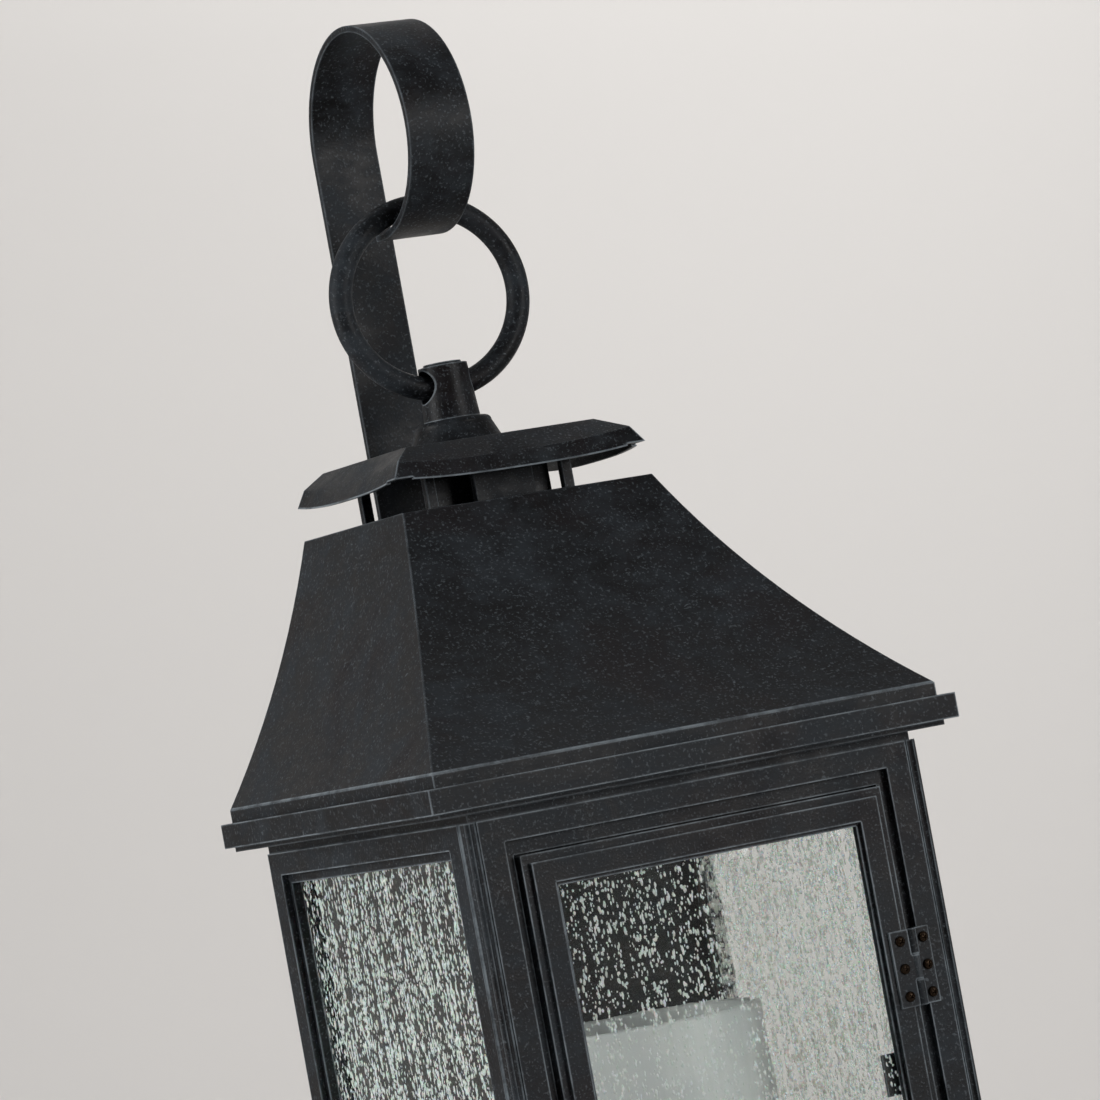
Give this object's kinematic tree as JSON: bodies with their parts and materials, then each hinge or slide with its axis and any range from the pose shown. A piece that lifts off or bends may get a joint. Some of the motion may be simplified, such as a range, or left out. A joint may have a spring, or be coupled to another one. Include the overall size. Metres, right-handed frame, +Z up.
{
  "type": "wall lantern",
  "caption": "Square wall lantern with a flared roof, vent cap, hinged glass door, opal glass cylinder, and a crook strap with a loose ring.",
  "frame": {"origin": "on the wall plane, in the middle of the crossbar that is screwed to the junction box", "axes": "+Z up, -Y forward from the wall to the front of the lantern, +X to the right as seen from the front"},
  "size_m": [0.254, 0.2472, 0.6503],
  "materials": {
    "charcoal_casting": "cast, charcoal with a bluish mottle and rubbed edges",
    "wrought_steel": "forged steel, charcoal, hammered",
    "black_sheet": "sheet metal, painted charcoal",
    "zinc_steel": "zinc plated",
    "bronze_screw": "dark bronze",
    "green_screw": "green ground screw",
    "brass": "plain brass",
    "seeded_glass": "seeded, with fine upright streaks",
    "opal_glass": "white opal",
    "bulb_glass": "frosted",
    "rubber": "black",
    "white_ceramic": "glazed white"
  },
  "bodies": {
    "lantern": {"crossbar": "zinc_steel", "mounting_studs": "zinc_steel", "cap_nuts": "zinc_steel", "ground_screw": "green_screw", "back_pan": "black_sheet", "back_panel": "black_sheet", "panel_screws": "bronze_screw", "wire_grommet": "rubber", "strap_spacer": "black_sheet", "crook_strap": "wrought_steel", "strap_screws": "bronze_screw", "left_corner_post": "charcoal_casting", "right_corner_post": "charcoal_casting", "front_frame": "charcoal_casting", "left_side_frame": "charcoal_casting", "right_side_frame": "charcoal_casting", "left_glass": "seeded_glass", "right_glass": "seeded_glass", "post_screws": "bronze_screw", "side_glass_clips": "black_sheet", "side_clip_screws": "bronze_screw", "top_frame": "charcoal_casting", "soffit": "charcoal_casting", "eaves": "charcoal_casting", "roof": "charcoal_casting", "roof_screws": "bronze_screw", "vent_neck": "charcoal_casting", "baffle": "black_sheet", "cap_stay": "charcoal_casting", "vent_cap": "charcoal_casting", "collar": "charcoal_casting", "stem": "charcoal_casting", "stem_nut": "zinc_steel", "base": "charcoal_casting", "base_plate": "zinc_steel", "base_screws": "bronze_screw", "cylinder_holder": "zinc_steel", "glass_cylinder": "opal_glass", "lampholder": "white_ceramic", "lamp_nipple": "zinc_steel", "nipple_nut": "zinc_steel", "bulb_cap": "brass", "bulb": "bulb_glass", "upper_hinge_frame_leaf": "charcoal_casting", "lower_hinge_frame_leaf": "charcoal_casting", "upper_hinge_pin": "brass", "lower_hinge_pin": "brass", "frame_hinge_screws": "bronze_screw"},
    "door": {"door_frame": "charcoal_casting", "door_glass": "seeded_glass", "door_glass_clips": "black_sheet", "door_clip_screws": "bronze_screw", "upper_hinge_door_leaf": "charcoal_casting", "lower_hinge_door_leaf": "charcoal_casting", "door_hinge_screws": "bronze_screw"},
    "latch": {"latch_knob": "charcoal_casting", "latch_cam": "zinc_steel", "latch_nut": "zinc_steel"},
    "ring": {"ring": "wrought_steel"}
  },
  "joints": [
    {"name": "door_hinge", "type": "hinge", "parent": "lantern", "child": "door", "pos_m": [0.08775, -0.2324, 0], "axis": [0, 0, 1], "range_deg": [0, 110]},
    {"name": "latch_turn", "type": "hinge", "parent": "door", "child": "latch", "pos_m": [-0.0804, -0.225, -0.045], "axis": [0, 1, 0], "range_deg": [0, 90]},
    {"name": "ring_turn", "type": "hinge", "parent": "lantern", "child": "ring", "pos_m": [0, -0.0627, 0.3686], "axis": [0, 0, 1], "range_deg": [0, 17]}
  ]
}
